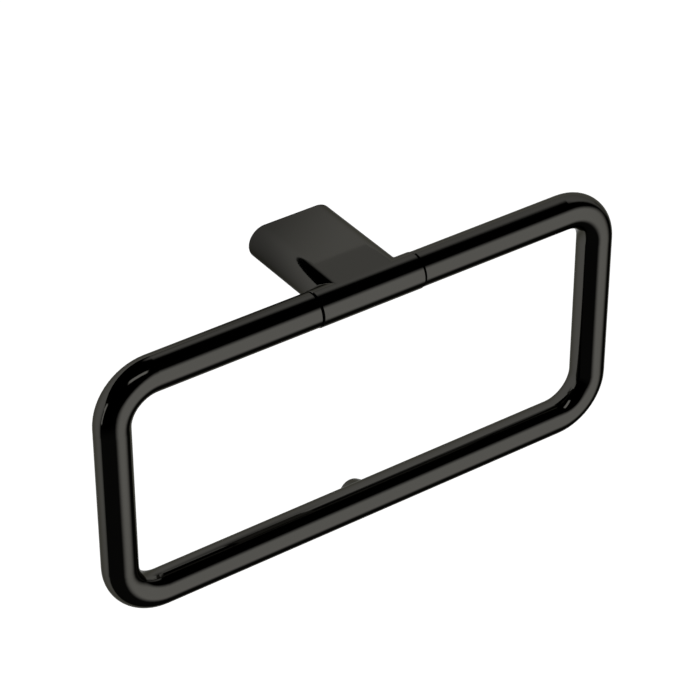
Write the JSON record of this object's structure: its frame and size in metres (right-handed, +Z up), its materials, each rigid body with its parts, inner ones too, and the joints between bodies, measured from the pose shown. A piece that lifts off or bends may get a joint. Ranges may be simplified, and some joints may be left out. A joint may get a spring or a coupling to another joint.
{
  "type": "towel ring",
  "caption": "Wall-mounted towel ring: a hollow post with a cross-bar head carries a rounded rectangular tube ring that swings on a pivot pin and meets the wall with a rubber bumper.",
  "frame": {"origin": "centre of the post's wall face, where the post's long axis meets the wall", "axes": "+X along the cross bar and the ring's width, to the right seen from the room; +Y into the wall; +Z up"},
  "size_m": [0.232, 0.0557, 0.1132],
  "materials": {
    "black_chrome": "polished dark chrome plate over metal",
    "bare_zinc": "bare die-cast zinc",
    "pin_steel": "ground stainless steel",
    "screw_steel": "blackened steel",
    "black_plastic": "black acetal",
    "black_rubber": "matt black rubber",
    "plug_metal": "turned aluminium"
  },
  "bodies": {
    "holder": {"post": "black_chrome", "wall_bracket": "bare_zinc", "post_screw": "screw_steel", "bush_right": "black_plastic", "bush_left": "black_plastic"},
    "ring": {"ring": "black_chrome", "shaft": "pin_steel", "plug_right": "plug_metal", "plug_left": "plug_metal", "ring_screw_right": "screw_steel", "ring_screw_left": "screw_steel", "bumper": "black_rubber"}
  },
  "joints": [
    {"name": "ring_swing", "type": "hinge", "parent": "holder", "child": "ring", "pos_m": [0, -0.0485, 0], "axis": [1, 0, 0], "range_deg": [-205, 24.4]}
  ]
}
